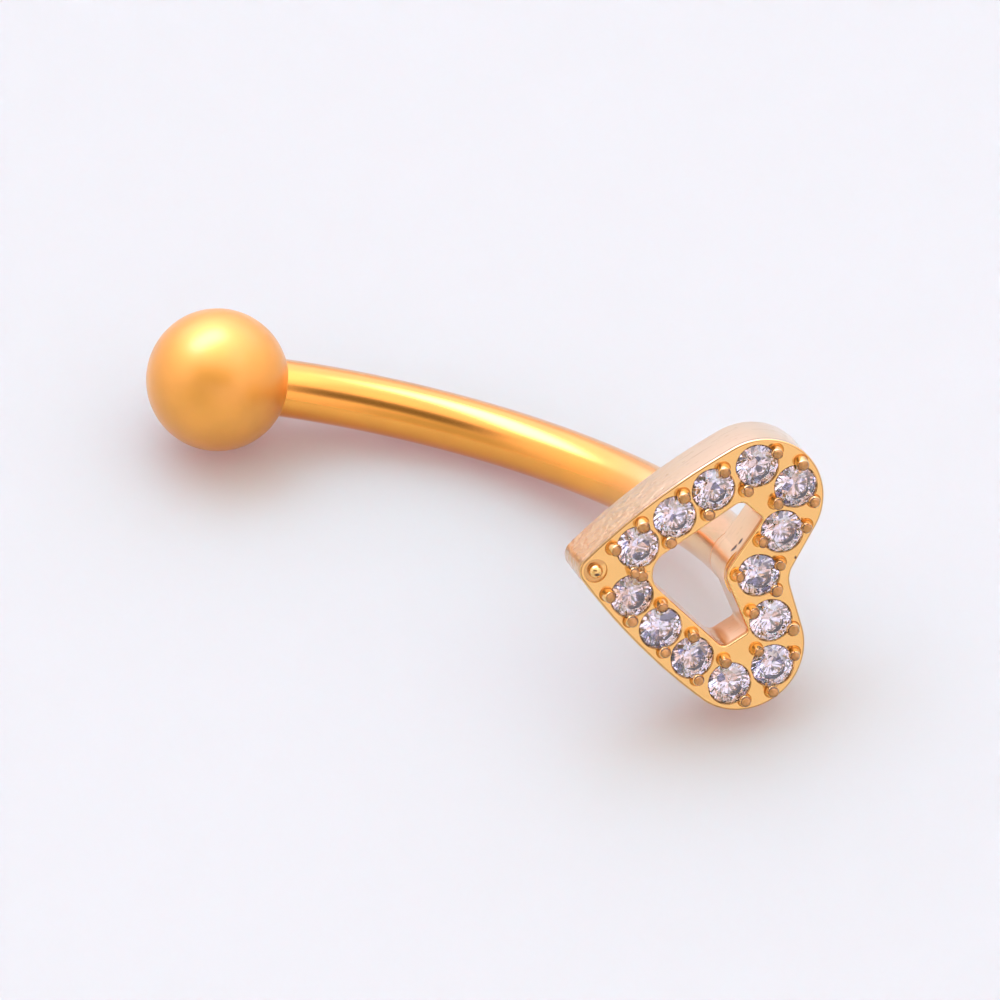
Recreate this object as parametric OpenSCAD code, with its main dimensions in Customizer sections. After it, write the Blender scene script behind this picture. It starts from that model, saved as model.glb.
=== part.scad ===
// Curved eyebrow barbell: a bent bar with a plain ball screwed on one end and an
// openwork heart, set with clear round stones, screwed on the other.
// It lies on a surface the way it comes to rest: on the ball, on the belly of the
// bar and on one lobe of the heart. Millimetres, Z up.

/* [Bar] */
// Diameter of the bar
bar_d = 1.2; // [1.0:0.1:1.6]
// Radius that the bar's centre line is bent to
bend_r = 8.56; // [7:0.01:12]
// Length of the centre line, from the heart's back to the middle of the ball
bar_len = 13.78; // [11:0.01:15]

/* [Ball] */
// Diameter of the ball
ball_d = 2.95; // [2.5:0.05:4]

/* [Heart] */
// Thickness of the heart's plate
heart_t = 1.17; // [0.9:0.01:1.4]
// Turn of the screwed-on heart about the bar's end
heart_turn = 4.5; // [0:0.5:8]
// Distance from the middle stone to the middle of the bar's end, towards the tip
bar_back = 0.08; // [0:0.01:0.14]
// Radius of each lobe
lobe_r = 1.32; // [1.25:0.01:1.35]
// Distance from the middle stone to the middle of a lobe, towards the tip
lobe_back = 0.14; // [0.1:0.01:0.2]
// Distance from the middle stone to the middle of a lobe, to the side
lobe_side = 1.58; // [1.5:0.01:1.65]
// Radius of the long bulging side between a lobe and the tip
flank_r = 13.9; // [10:0.1:30]
// Distance from the middle stone to the end of the tip
tip_far = 3.78; // [3.6:0.01:4]
// Radius of the rounded tip
tip_r = 0.32; // [0.2:0.01:0.4]
// Distance from the middle stone to the bottom of the notch
notch_far = 0.67; // [0.62:0.01:0.7]
// Radius of the notch's bottom
notch_r = 0.53; // [0.45:0.01:0.6]
// Depth below the face of the round boss, as wide as the bar, that carries the bar's end
boss_sink = 0.16; // [0.1:0.01:0.3]

/* [Opening] */
// Distance from the middle stone to the opening's end near the tip
open_far = 2.23; // [2.15:0.01:2.3]
// Radius of the opening's end near the tip
open_tip_r = 0.5; // [0.4:0.01:0.6]
// Radius of the opening's two corners, one in each lobe
corner_r = 0.35; // [0.3:0.01:0.4]
// Distance from the middle stone to the middle of a corner, towards the tip
corner_back = 0.46; // [0.4:0.01:0.5]
// Distance from the middle stone to the middle of a corner, to the side
corner_side = 1.19; // [1.1:0.01:1.25]
// Distance from the middle stone to the end of the nose that carries it
nose_far = 0.67; // [0.64:0.01:0.75]
// Radius of that nose
nose_r = 0.36; // [0.2:0.01:0.5]

/* [Stones] */
// Diameter of every stone
stone_d = 0.87; // [0.8:0.01:0.88]
// Clear gap between a stone and the metal round it
stone_gap = 0.015; // [0.01:0.005:0.03]
// Depth of a stone's girdle below the face of the heart
girdle_sink = 0.02; // [0:0.01:0.1]
// Radius of a claw that holds a stone
claw_r = 0.115; // [0.08:0.005:0.14]
// Height of a claw over the face
claw_h = 0.24; // [0.15:0.01:0.3]

/* [Posts] */
// Diameter of the hidden posts that the heart and the ball are fixed by
post_d = 0.7; // [0.6:0.05:0.75]
// Length of each hidden post
post_len = 1.2; // [0.8:0.1:1.2]
// Clear gap where the bar meets the heart, the ball and the posts
post_gap = 0.02; // [0.01:0.01:0.04]

/* [Hidden] */
STONES = 13;
function stone_name(k) = str("stone_", k < 10 ? "0" : "", k);
$fn = 96;

// Stones on one half of the heart, from the tip round the lobe to the notch.
// columns: along the heart, to the side
SIDE_STONES = [
    [-2.62, 0.52],
    [-1.925, 1.18],
    [-1.18, 1.79],
    [-0.32, 2.32],
    [0.545, 1.915],
    [0.38, 0.95],
];

// Claws on one half of the heart, in the same order.
// columns: along the heart, to the side
SIDE_CLAWS = [
    [-3.16, 0.49],
    [-2.6, 1.04],
    [-1.99, 0.65],
    [-1.81, 1.68],
    [-1.26, 1.27],
    [-1.03, 2.25],
    [-0.52, 1.8],
    [0.04, 2.67],
    [0.58, 2.46],
    [0.14, 1.56],
    [0.96, 1.62],
    [0.87, 1.1],
    [-0.08, 0.75],
    [0.41, 0.29],
];

// Claws that stand on the heart's own axis: their places along it
AXIS_CLAWS = [-2.69, -2.49, -0.47];

// The lone grain of metal near the tip, and the round cut that it stands in
grain_far = 3.45;
grain_r = 0.15;
grain_cut_r = 0.24;
grain_cut_depth = 0.05;

// A round brilliant's proportions. The first four are shares of its diameter, the
// last two are how far the stars reach to the girdle and the lower facets to the point
TABLE_SHARE = 0.57;
CROWN_SHARE = 0.15;
GIRDLE_SHARE = 0.03;
PAVILION_SHARE = 0.43;
STAR_REACH = 0.5;
LOWER_REACH = 0.78;
FOLD = 8;
// Turn from each stone to the next, so that no two show the same pattern of facets
STONE_TURN = 17;

bar_r = bar_d / 2;
ball_r = ball_d / 2;
stone_r = stone_d / 2;
table_r = TABLE_SHARE * stone_r;
crown_h = CROWN_SHARE * stone_d;
girdle_h = GIRDLE_SHARE * stone_d;
pavilion_h = PAVILION_SHARE * stone_d;
star_inner = table_r * cos(180 / FOLD);
star_r = star_inner + STAR_REACH * (stone_r - star_inner);
star_h = crown_h * (stone_r - star_r * cos(180 / FOLD)) / (stone_r - table_r);
lower_r = (1 - LOWER_REACH) * stone_r;
lower_depth = pavilion_h * (1 - lower_r * cos(180 / FOLD) / stone_r);

// Plan of the heart: X along its axis towards the notch, Y to the side, and the
// middle stone at zero. Every curve is an arc or a line that touches its neighbours
lobe = [-lobe_back, lobe_side];
tip = [tip_r - tip_far, 0];
notch = [notch_far + notch_r, 0];
flank = arc_middle(tip, flank_r - tip_r, lobe, flank_r - lobe_r);
open_tip = [open_tip_r - open_far, 0];
corner = [-corner_back, corner_side];
nose = [nose_r - nose_far, 0];

// The bar's centre line leaves the heart's back square and bends in one plane
bend_dir = [-cos(heart_turn), sin(heart_turn), 0];
bar_root = [-bar_back, 0, -heart_t - post_gap];
ball_at = on_bar(arc_angle(bar_len));
shoulder = arc_angle(bar_len - sqrt(ball_r * ball_r - bar_r * bar_r));

// Straight up as the heart sees it once the part has come to rest, and the turn
// about the vertical that makes the side that shows the heart's face the front
REST_STEPS = 14;
up = rest_up([0, 1, 0], REST_STEPS);
front_turn = 2.5;
lay_axis = unit(cross(up, [0, 0, 1]));
lay_angle = acos(up[2]);
centre_x = (reach([1, 0, 0]) - reach([-1, 0, 0])) / 2;
centre_y = (reach([0, 1, 0]) - reach([0, -1, 0])) / 2;
ground = -reach([0, 0, -1]);

function unit(v) = v / norm(v);
function mirrored(p) = [p[0], -p[1]];
function arc_angle(length) = length / bend_r * 180 / PI;

// Stones one to six run from the tip round one lobe, seven is at the notch, and
// eight to thirteen run back round the other lobe
function stone_at(k) =
    k <= 6 ? SIDE_STONES[k - 1] : k == 7 ? [0, 0] : mirrored(SIDE_STONES[STONES - k]);

function claw_places() =
    concat(SIDE_CLAWS, [for (c = SIDE_CLAWS) mirrored(c)], [for (x = AXIS_CLAWS) [x, 0]]);

// The point at distance ra from a and rb from b, on the right of the way from a to b
function arc_middle(a, ra, b, rb) =
    let (d = norm(b - a), e = (b - a) / d, s = (ra * ra - rb * rb + d * d) / (2 * d))
    a + e * s + [e[1], -e[0]] * sqrt(ra * ra - s * s);

// The direction, from the middle of each circle, in which a straight line touches it
// on the left of the way from a to b. A negative radius is touched on the right
function touch_dir(a, ra, b, rb) =
    let (d = norm(b - a), e = (b - a) / d, c = (ra - rb) / d)
    e * c + [-e[1], e[0]] * sqrt(1 - c * c);

// A point of the bar's centre line, given by how far the bar has bent there
function on_bar(angle) =
    bar_root + bend_r * (1 - cos(angle)) * bend_dir - [0, 0, bend_r * sin(angle)];

// Upward direction of the plane on which a big ball, a small ball and a point rest
function plane_up(guess, big, big_r, small, small_r, point) =
    let (p = small - big, q = point - big, pp = p * p, pq = p * q, qq = q * q,
         det = pp * qq - pq * pq, rise_p = small_r - big_r, rise_q = -big_r,
         flat = ((rise_p * qq - rise_q * pq) * p + (rise_q * pp - rise_p * pq) * q) / det,
         side = unit(cross(p, q)))
    flat + side * sign(side * guess) * sqrt(1 - flat * flat);

// Each step finds where the bar's belly and the lobe's edge are lowest, and lays the
// part on those two places and the ball
function rest_up(up, steps) =
    steps == 0 ? up :
    let (belly = atan2(up[2], up * bend_dir),
         edge = mirrored(lobe) - lobe_r * unit([up[0], up[1]]),
         next = plane_up(up, ball_at, ball_r, on_bar(belly), bar_r,
                         [edge[0], edge[1], -heart_t]))
    rest_up(next, steps - 1);

// A direction of the surface that the part lies on, as the heart sees it
function from_world(v) =
    let (w = [v[0] * cos(front_turn) + v[1] * sin(front_turn),
              v[1] * cos(front_turn) - v[0] * sin(front_turn), v[2]])
    w * cos(lay_angle) - cross(lay_axis, w) * sin(lay_angle)
    + lay_axis * (lay_axis * w) * (1 - cos(lay_angle));

// How far the whole part reaches from the middle stone in a direction of the surface
function reach(world_dir) =
    let (dir = from_world(world_dir), plan = [dir[0], dir[1]])
    max(concat(
        [ball_at * dir + ball_r],
        [for (angle = [0 : 1 : shoulder]) on_bar(angle) * dir + bar_r],
        [for (c = claw_places()) [c[0], c[1], claw_h - claw_r] * dir + claw_r],
        [for (c = [[lobe, lobe_r], [mirrored(lobe), lobe_r], [tip, tip_r]])
            c[0] * plan + c[1] * norm(plan) + max(0, -heart_t * dir[2])]));

// Lays its children, drawn as the heart sees them, on the surface
module at_rest() {
    translate([-centre_x, -centre_y, -ground])
        rotate([0, 0, front_turn]) rotate(lay_angle, lay_axis) children();
}

// Puts its children, drawn from the origin down, at a place along the bar
module along_bar(angle) {
    translate(on_bar(angle)) rotate([0, 0, 180 - heart_turn]) rotate([0, -angle, 0]) children();
}

module disc(middle, r) {
    translate(middle) circle(r);
}

module both_sides() {
    children();
    mirror([0, 1]) children();
}

// One lobe, and the bulging side from it down to the tip
module outline_half() {
    beyond = 1.02 * flank_r * unit((tip + lobe) / 2 - flank);
    disc(lobe, lobe_r);
    intersection() {
        disc(flank, flank_r);
        polygon([tip, flank + flank_r * unit(tip - flank), flank + beyond,
                 flank + flank_r * unit(lobe - flank), lobe]);
    }
}

module outline() {
    notch_dir = touch_dir(lobe, lobe_r, notch, -notch_r);
    difference() {
        union() {
            both_sides() {
                outline_half();
                polygon([tip, lobe, lobe + lobe_r * notch_dir, notch - notch_r * notch_dir,
                         [notch[0] - notch_r, 0]]);
            }
            disc(tip, tip_r);
        }
        disc(notch, notch_r);
    }
}

// A rounded end, two straight sides, two corners and the nose between them
module opening() {
    side_dir = touch_dir(open_tip, open_tip_r, corner, corner_r);
    inner_dir = touch_dir(corner, corner_r, nose, -nose_r);
    difference() {
        union() {
            disc(open_tip, open_tip_r);
            both_sides() {
                disc(corner, corner_r);
                polygon([open_tip, open_tip + open_tip_r * side_dir,
                         corner + corner_r * side_dir, corner,
                         corner + corner_r * inner_dir, nose - nose_r * inner_dir, nose]);
            }
        }
        disc(nose, nose_r);
    }
}

module claw(place) {
    shank = claw_h - claw_r;
    translate([place[0], place[1], -claw_h]) cylinder(r = claw_r, h = claw_h + shank, $fn = 24);
    translate([place[0], place[1], shank]) sphere(claw_r, $fn = 24);
}

// The room that a stone needs: a round seat with a sloping floor that runs out into
// a small hole, and over the girdle a cone that trims the claws to lie on the crown
module seat() {
    room_r = stone_r + stone_gap;
    floor_r = 0.2 * stone_r;
    slope_h = (room_r - floor_r) * pavilion_h / stone_r;
    wall_h = girdle_h + 2 * stone_gap;
    top_h = claw_h + girdle_sink;
    top_r = room_r - top_h * (stone_r - star_r) / star_h;
    translate([0, 0, -girdle_sink - girdle_h - stone_gap]) {
        translate([0, 0, -slope_h - floor_r]) cylinder(r = floor_r, h = 2 * floor_r, $fn = 48);
        translate([0, 0, -slope_h]) cylinder(r1 = floor_r, r2 = room_r, h = slope_h, $fn = 48);
        cylinder(r = room_r, h = wall_h, $fn = 48);
        translate([0, 0, wall_h]) cylinder(r1 = room_r, r2 = top_r, h = top_h, $fn = 48);
    }
}

module heart_setting() {
    color("goldenrod") at_rest() {
        difference() {
            union() {
                translate([0, 0, -heart_t]) linear_extrude(heart_t) difference() {
                    outline();
                    opening();
                }
                translate([-bar_back, 0, -heart_t]) cylinder(d = bar_d, h = heart_t - boss_sink);
                for (c = claw_places()) claw(c);
            }
            for (k = [1 : STONES]) translate(stone_at(k)) seat();
            translate([-grain_far, 0, -grain_cut_depth]) cylinder(r = grain_cut_r, h = claw_h, $fn = 48);
        }
        translate([-grain_far, 0, 0]) sphere(grain_r, $fn = 48);
        translate([-bar_back, 0, -heart_t - post_len]) cylinder(d = post_d, h = post_len + post_gap);
    }
}

module curved_bar() {
    color("gold") at_rest() difference() {
        union() {
            translate(bar_root) rotate([0, 0, 180 - heart_turn]) translate([bend_r, 0, 0])
                rotate([90, 0, 0]) rotate([0, 0, 180])
                rotate_extrude(angle = shoulder) translate([bend_r, 0]) circle(bar_r);
            along_bar(shoulder) translate([0, 0, -post_len]) cylinder(d = post_d, h = post_len + post_gap);
        }
        translate([-bar_back, 0, -heart_t - post_len - post_gap])
            cylinder(d = post_d + 2 * post_gap, h = post_len + post_gap);
    }
}

module ball_end() {
    color("gold") at_rest() difference() {
        translate(ball_at) sphere(ball_r);
        along_bar(shoulder) {
            translate([0, 0, -post_gap]) cylinder(r = bar_r + post_gap, h = bar_d);
            translate([0, 0, -post_len - post_gap])
                cylinder(d = post_d + 2 * post_gap, h = post_len + post_gap);
        }
    }
}

// Points of a ring that is drawn at height h: FOLD of them unless said otherwise
function ring(r, h, start, count = FOLD) =
    [for (i = [0 : count - 1]) [r * cos(start + i * 360 / count), r * sin(start + i * 360 / count), h]];

// A round brilliant with its table up and the top of its girdle at zero
module brilliant() {
    half = 180 / FOLD;
    table = 0;
    star = FOLD;
    rim = 2 * FOLD;
    rim_low = 4 * FOLD;
    lower = 6 * FOLD;
    point = 7 * FOLD;
    last = 2 * FOLD;
    points = concat(
        ring(table_r, crown_h, 0), ring(star_r, star_h, half),
        ring(stone_r, 0, 0, last), ring(stone_r, -girdle_h, 0, last),
        ring(lower_r, -girdle_h - lower_depth, half), [[0, 0, -girdle_h - pavilion_h]]);
    faces = concat(
        [[for (i = [FOLD - 1 : -1 : 0]) table + i]],
        [for (i = [0 : FOLD - 1]) let (n = (i + 1) % FOLD) [table + i, table + n, star + i]],
        [for (i = [0 : FOLD - 1]) let (b = (i + FOLD - 1) % FOLD)
            [table + i, star + i, rim + 2 * i, star + b]],
        [for (i = [0 : FOLD - 1]) [star + i, rim + 2 * i + 1, rim + 2 * i]],
        [for (i = [0 : FOLD - 1]) [star + i, rim + (2 * i + 2) % last, rim + 2 * i + 1]],
        [for (i = [0 : last - 1]) let (n = (i + 1) % last)
            [rim + i, rim + n, rim_low + n, rim_low + i]],
        [for (i = [0 : FOLD - 1]) [lower + i, rim_low + 2 * i, rim_low + 2 * i + 1]],
        [for (i = [0 : FOLD - 1]) [lower + i, rim_low + 2 * i + 1, rim_low + (2 * i + 2) % last]],
        [for (i = [0 : FOLD - 1]) let (b = (i + FOLD - 1) % FOLD)
            [point, lower + b, rim_low + 2 * i, lower + i]]);
    polyhedron(points, faces);
}

module stone(k) {
    color("lavender") at_rest() translate(stone_at(k)) translate([0, 0, -girdle_sink])
        rotate([0, 0, STONE_TURN * k]) brilliant();
}

curved_bar();
ball_end();
heart_setting();
for (k = [1 : STONES]) stone(k);
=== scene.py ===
# %% [markdown]
# A curved eyebrow barbell, seen close up. The measured parts come first: a bent bar, a
# ball, an openwork heart and thirteen cut stones, each in its place on the surface that
# the barbell lies on. Blender's part of the work is the finish. The measured meshes could
# be used as they are, but they were made for measuring, and their flat facets would show
# in a mirror-bright surface. So the metal is made again here, finer, from the same few
# sizes, and the stones keep their measured facets.

import math

import bmesh
import bpy
import numpy as np
from mathutils import Matrix, Vector
from mathutils.geometry import tessellate_polygon


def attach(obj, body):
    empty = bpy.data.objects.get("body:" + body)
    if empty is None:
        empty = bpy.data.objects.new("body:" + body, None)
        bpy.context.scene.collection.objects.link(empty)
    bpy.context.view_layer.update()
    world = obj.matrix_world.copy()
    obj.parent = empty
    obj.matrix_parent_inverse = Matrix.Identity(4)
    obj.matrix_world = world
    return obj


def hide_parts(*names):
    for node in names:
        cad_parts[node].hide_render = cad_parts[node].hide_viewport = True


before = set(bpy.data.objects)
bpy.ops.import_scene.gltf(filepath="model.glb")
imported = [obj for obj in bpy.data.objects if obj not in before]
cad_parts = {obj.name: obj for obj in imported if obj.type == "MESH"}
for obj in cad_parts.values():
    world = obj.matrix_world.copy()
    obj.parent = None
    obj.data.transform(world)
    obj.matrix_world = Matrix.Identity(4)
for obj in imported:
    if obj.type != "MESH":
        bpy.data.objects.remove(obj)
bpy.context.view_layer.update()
MM = 0.001
scene = bpy.context.scene
STONES = 13
stone_names = [f"stone_{k:02d}" for k in range(1, STONES + 1)]

# %% [markdown]
# The camera is the one that took the picture, worked out from the bar's edges, the ball
# and the stones. A long lens from 0.3 m keeps the barbell free of strong perspective.
# The camera is set up by where its axis meets the surface, because two angles and a
# distance from there are easy to read and to change.

# %% Camera
SENSOR = 36.0
PICTURE_PX = 1000
# A millimetre that lies this many millimetres away fills so many pixels
SCALED_AWAY = 300.0
PX_PER_MM = 49.48
NEAR_END, FAR_END = 0.01, 10.0
CAMERA_AWAY = 0.30592
CAMERA_AZIMUTH = 0.05
CAMERA_HEIGHT = 45.76
CAMERA_AIM = Vector((0.376, 1.533, 0.0)) * MM


def heading(azimuth, height):
    """The direction at an angle right of straight away from the camera, and over the horizon."""
    a, h = math.radians(azimuth), math.radians(height)
    return Vector((math.sin(a) * math.cos(h), math.cos(a) * math.cos(h), math.sin(h)))


def make_camera():
    data = bpy.data.cameras.new("camera")
    camera = bpy.data.objects.new("camera", data)
    scene.collection.objects.link(camera)
    data.sensor_width = SENSOR
    data.lens = SENSOR * PX_PER_MM * SCALED_AWAY / PICTURE_PX
    data.clip_start, data.clip_end = NEAR_END, FAR_END
    towards = heading(180 + CAMERA_AZIMUTH, CAMERA_HEIGHT)
    camera.rotation_mode = "QUATERNION"
    camera.location = CAMERA_AIM + towards * CAMERA_AWAY
    camera.rotation_quaternion = (-towards).to_track_quat("-Z", "Y")
    return camera


scene.camera = make_camera()
print("lens", round(scene.camera.data.lens, 1), "mm")

# %% [markdown]
# Materials, the surroundings and the Geometry Nodes all need the same two things: a
# short way to add a node, and sums that read like sums. One class wraps a socket and
# gives it Python's operators, so that 1 - mask adds a Math node by itself. One method
# adds any other node from its type, its settings and the values of its sockets.

# %% Sockets with operators
class Wire:
    """A node's output, on which sums add Math nodes."""

    def __init__(self, tree, socket):
        self.tree = tree
        self.socket = socket

    def __add__(self, other):
        return self.tree.maths("ADD", self, other)

    def __radd__(self, other):
        return self.tree.maths("ADD", other, self)

    def __sub__(self, other):
        return self.tree.maths("SUBTRACT", self, other)

    def __rsub__(self, other):
        return self.tree.maths("SUBTRACT", other, self)

    def __mul__(self, other):
        return self.tree.maths("MULTIPLY", self, other)

    def __rmul__(self, other):
        return self.tree.maths("MULTIPLY", other, self)

    def __truediv__(self, other):
        return self.tree.maths("DIVIDE", self, other)

    def __rtruediv__(self, other):
        return self.tree.maths("DIVIDE", other, self)


class Tree:
    """A node tree that is written as expressions."""

    def __init__(self, node_tree):
        self.nodes = node_tree.nodes
        self.links = node_tree.links

    def node(self, kind, settings=None, inputs=None):
        """Adds a node and gives it back. Settings go first, then values or wires by socket."""
        made = self.nodes.new(kind)
        for name, value in (settings or {}).items():
            setattr(made, name, value)
        for key, value in (inputs or {}).items():
            if isinstance(value, Wire):
                self.links.new(value.socket, made.inputs[key])
            else:
                made.inputs[key].default_value = value
        return made

    def out(self, kind, settings=None, inputs=None, output=0):
        """Adds a node and gives back one of its outputs, by name or by place."""
        return Wire(self, self.node(kind, settings, inputs).outputs[output])

    def coordinates(self, output="Object"):
        """A texture coordinate: by default a point's place on its object, in metres."""
        return self.out("ShaderNodeTexCoord", None, None, output)

    def maths(self, operation, *values):
        return self.out("ShaderNodeMath", {"operation": operation}, dict(enumerate(values)))

    def vector(self, operation, *values, output=0):
        settings = {"operation": operation}
        return self.out("ShaderNodeVectorMath", settings, dict(enumerate(values)), output)

    def dot(self, a, b):
        return self.vector("DOT_PRODUCT", a, b, output="Value")

    def ramp(self, value, low, high):
        """0 up to low, 1 from high, and smooth between them."""
        return self.out("ShaderNodeMapRange", {"interpolation_type": "SMOOTHSTEP"},
                        {0: value, 1: low, 2: high})

    def blend(self, share, a, b):
        """Colour a where share is 0 and b where it is 1. Mix has its colours at 6 and 7."""
        return self.out("ShaderNodeMix", {"data_type": "RGBA"}, {0: share, 6: a, 7: b}, 2)


# %% [markdown]
# Polished metal shows less of itself than of its studio. The real picture was taken on
# white paper with one bright soft lamp high up behind and to the left, two wider and
# dimmer ones beside it, and in front a dim wall and the dark camera. Lamps could be set
# up one by one, but then each reflection would need its own object. The surroundings are
# painted instead, as soft panels on the sky, so that the bar, the ball and the heart all
# mirror the same room. The lamps are a little blue, which makes bright gold pale and
# the stones lavender.

# %% Studio
HORIZON = (1.08, 0.98, 1.1, 1)
ZENITH = (1.85, 1.64, 1.95, 1)
# Each panel: azimuth, height, half width and half height in degrees, softness of the
# edges, colour
PANELS = [
    (6, 46, 46, 27, 0.4, (1.75, 1.8, 2.6, 1)),
    (60, 64, 24, 12, 0.6, (2.2, 2.3, 3.0, 1)),
    (-29, 61, 23, 12, 0.45, (6.0, 6.7, 11.5, 1)),
    (-150, 16, 24, 16, 0.6, (0.72, 0.7, 0.62, 1)),
    (-169, 51, 32, 15, 0.5, (0.26, 0.24, 0.18, 1)),
]
# A panel fades out where a direction turns square to it
SQUARE, AHEAD = 0.02, 0.1


def panel_mask(tree, way, azimuth, height, half_width, half_height, softness):
    """1 where a direction meets a flat panel that faces the middle, 0 elsewhere."""
    facing = heading(azimuth, height)
    across = heading(azimuth + 90, 0)
    upward = across.cross(facing)
    ahead = tree.maths("MAXIMUM", tree.dot(way, facing), SQUARE)
    mask = tree.ramp(ahead, SQUARE, AHEAD)
    for axis, half in ((across, half_width), (upward, half_height)):
        along = tree.maths("ABSOLUTE", tree.dot(way, axis) / ahead)
        edge = math.tan(math.radians(half))
        mask = mask * (1 - tree.ramp(along, edge * (1 - softness), edge * (1 + softness)))
    return mask


def make_studio():
    world = bpy.data.worlds.new("studio")
    world.use_nodes = True
    world.node_tree.nodes.clear()
    tree = Tree(world.node_tree)
    way = tree.vector("NORMALIZE", tree.coordinates("Generated"))
    light = tree.blend(tree.ramp(tree.dot(way, (0, 0, 1)), 0.0, 1.0), HORIZON, ZENITH)
    for *place, colour in PANELS:
        light = tree.blend(panel_mask(tree, way, *place), light, colour)
    glow = tree.out("ShaderNodeBackground", None, {"Color": light})
    tree.node("ShaderNodeOutputWorld", None, {0: glow})
    return world


scene.world = make_studio()
scene.view_settings.view_transform = "Standard"
print(len(PANELS), "panels in the studio")

# %% [markdown]
# Every finish starts in the same way: a material with its one shader, whose constants
# are set by name. What changes over the surface is fed in by name too. Noise makes
# clouds and grain, and a bump turns a height into a slope that the light can catch.

# %% Finish helpers
def start_finish(name, **constants):
    """A material, its tree and its shader, with the shader's constants set."""
    finish = bpy.data.materials.new(name)
    finish.use_nodes = True
    tree = Tree(finish.node_tree)
    shader = finish.node_tree.nodes["Principled BSDF"]
    for socket, value in constants.items():
        shader.inputs[socket.replace("_", " ")].default_value = value
    return finish, tree, shader


def feed(tree, shader, **wires):
    for socket, wire in wires.items():
        tree.links.new(wire.socket, shader.inputs[socket.replace("_", " ")])


def noise(tree, where, scale, detail=2.0):
    return tree.out("ShaderNodeTexNoise", None, {"Vector": where, "Scale": scale, "Detail": detail})


def bump(tree, height, distance, strength):
    return tree.out("ShaderNodeBump", None,
                    {"Strength": strength, "Distance": distance, "Height": height})


# %% [markdown]
# Under the barbell lies a sheet of white paper, wide enough that no view sees its end.
# Light sinks into it a few millimetres and comes out warmer, so the shadows have soft
# rosy edges. Its own fine grain keeps it from looking like an empty page.

# %% Paper
PAPER_HALF = 1.5
PAPER_COLOUR = (0.495, 0.492, 0.378, 1)
PAPER_ROUGH = 0.9
PAPER_SHINE = 0.1
PAPER_GLOW = (1.0, 0.5, 0.55)
PAPER_DEPTH = 6.5 * MM
PAPER_GRAIN = 900.0
PAPER_BUMP = 0.1 * MM
PAPER_BUMP_STRENGTH = 0.05


def paper_finish():
    finish, tree, shader = start_finish(
        "white_paper", Base_Color=PAPER_COLOUR, Roughness=PAPER_ROUGH,
        Specular_IOR_Level=PAPER_SHINE, Subsurface_Weight=1.0,
        Subsurface_Radius=PAPER_GLOW, Subsurface_Scale=PAPER_DEPTH)
    shader.subsurface_method = "BURLEY"
    grain = noise(tree, tree.coordinates(), PAPER_GRAIN)
    feed(tree, shader, Normal=bump(tree, grain, PAPER_BUMP, PAPER_BUMP_STRENGTH))
    return finish


def make_paper():
    mesh = bpy.data.meshes.new("paper")
    h = PAPER_HALF
    mesh.from_pydata([(-h, -h, 0), (h, -h, 0), (h, h, 0), (-h, h, 0)], [], [(0, 1, 2, 3)])
    mesh.materials.append(paper_finish())
    paper = bpy.data.objects.new("paper", mesh)
    scene.collection.objects.link(paper)
    return paper


paper = make_paper()
print("paper", [round(c, 1) for c in paper.dimensions], "m")

# %% [markdown]
# The heart lies tilted on one lobe, so its own directions aren't the room's. They are
# read off the stones: the mean of a stone's corners lies on its axis, stone 7 sits in
# the middle at the notch, and stones 1 and 13 are a pair at the tip. Everything that
# follows is drawn flat, as the heart sees it, and one matrix lays it in place.

# %% The heart's own directions
# How far a stone's flat top lies over the heart's face
TABLE_OVER_FACE = 0.1105
DECIMALS = 4


def corners(name):
    """A measured part's corners, each once, in millimetres."""
    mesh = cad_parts[name].data
    flat = np.empty(3 * len(mesh.vertices), np.float32)
    mesh.vertices.foreach_get("co", flat)
    return np.unique(np.round(flat.reshape(-1, 3).astype(float) / MM, DECIMALS), axis=0)


def unit(v):
    return v / np.linalg.norm(v)


def heart_frame():
    """Matrix from the heart's plan, with the middle stone at zero on its face, to the room."""
    middle = corners("stone_07").mean(0)
    first, last = corners("stone_01").mean(0), corners("stone_13").mean(0)
    along = unit(middle - (first + last) / 2)
    side = unit((first - last) - along * (along @ (first - last)))
    out = np.cross(along, side)
    table = max(corners("stone_07") @ out)
    middle = middle + out * (table - TABLE_OVER_FACE - middle @ out)
    turned = Matrix(np.column_stack([along, side, out]).tolist()).to_4x4()
    return Matrix.Translation(Vector(middle) * MM) @ turned @ Matrix.Scale(MM, 4)


LAY = heart_frame()
face_out = (LAY.to_3x3() @ Vector((0, 0, 1))).normalized()
print("the face looks", [round(c, 3) for c in face_out])

# %% [markdown]
# All three golds start as a metal under a hazy clear coat. The colour is that of a thin
# gold-coloured coating on steel, more orange than solid gold. The bar and the ball share
# a recipe: roughness varies in soft clouds, as on metal that has been handled. The ball
# is duller. Near the heart the bar's colour is painted paler, a painted reflection of the
# heart's light that falls on it.

# %% Gold
GOLD = (0.93, 0.385, 0.045, 1)
BALL_GOLD = (0.87, 0.4, 0.06, 1)
HEART_REFLECTION_GOLD = (0.93, 0.57, 0.28, 1)
# Heights over the heart's face, in millimetres, where the bar's painted paler reflection comes in
HEART_REFLECTION_HEIGHTS = (-6.0, -1.8)
BLACK = (0, 0, 0, 1)
BALL_ROUGH = 0.48
BAR_ROUGH = 0.15
COAT_IOR = 1.5
COAT_ROUGH = 0.25
ROUND_COAT = 0.8
ROUND_CLOUDS = 700.0
ROUND_GRAIN = 9000.0
CLOUD_DETAIL = 3.0
CLOUD_FROM_TO = (0.35, 0.7)
CLOUD_SHADE = 0.1
CLOUD_ROUGH = 0.08
ROUND_BUMP = 0.02 * MM
ROUND_BUMP_STRENGTH = 0.04


def start_gold(name, coat):
    """A metal finish with a clear coat."""
    return start_finish(name, Metallic=1.0, Coat_Weight=coat, Coat_IOR=COAT_IOR,
                        Coat_Roughness=COAT_ROUGH)


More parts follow.
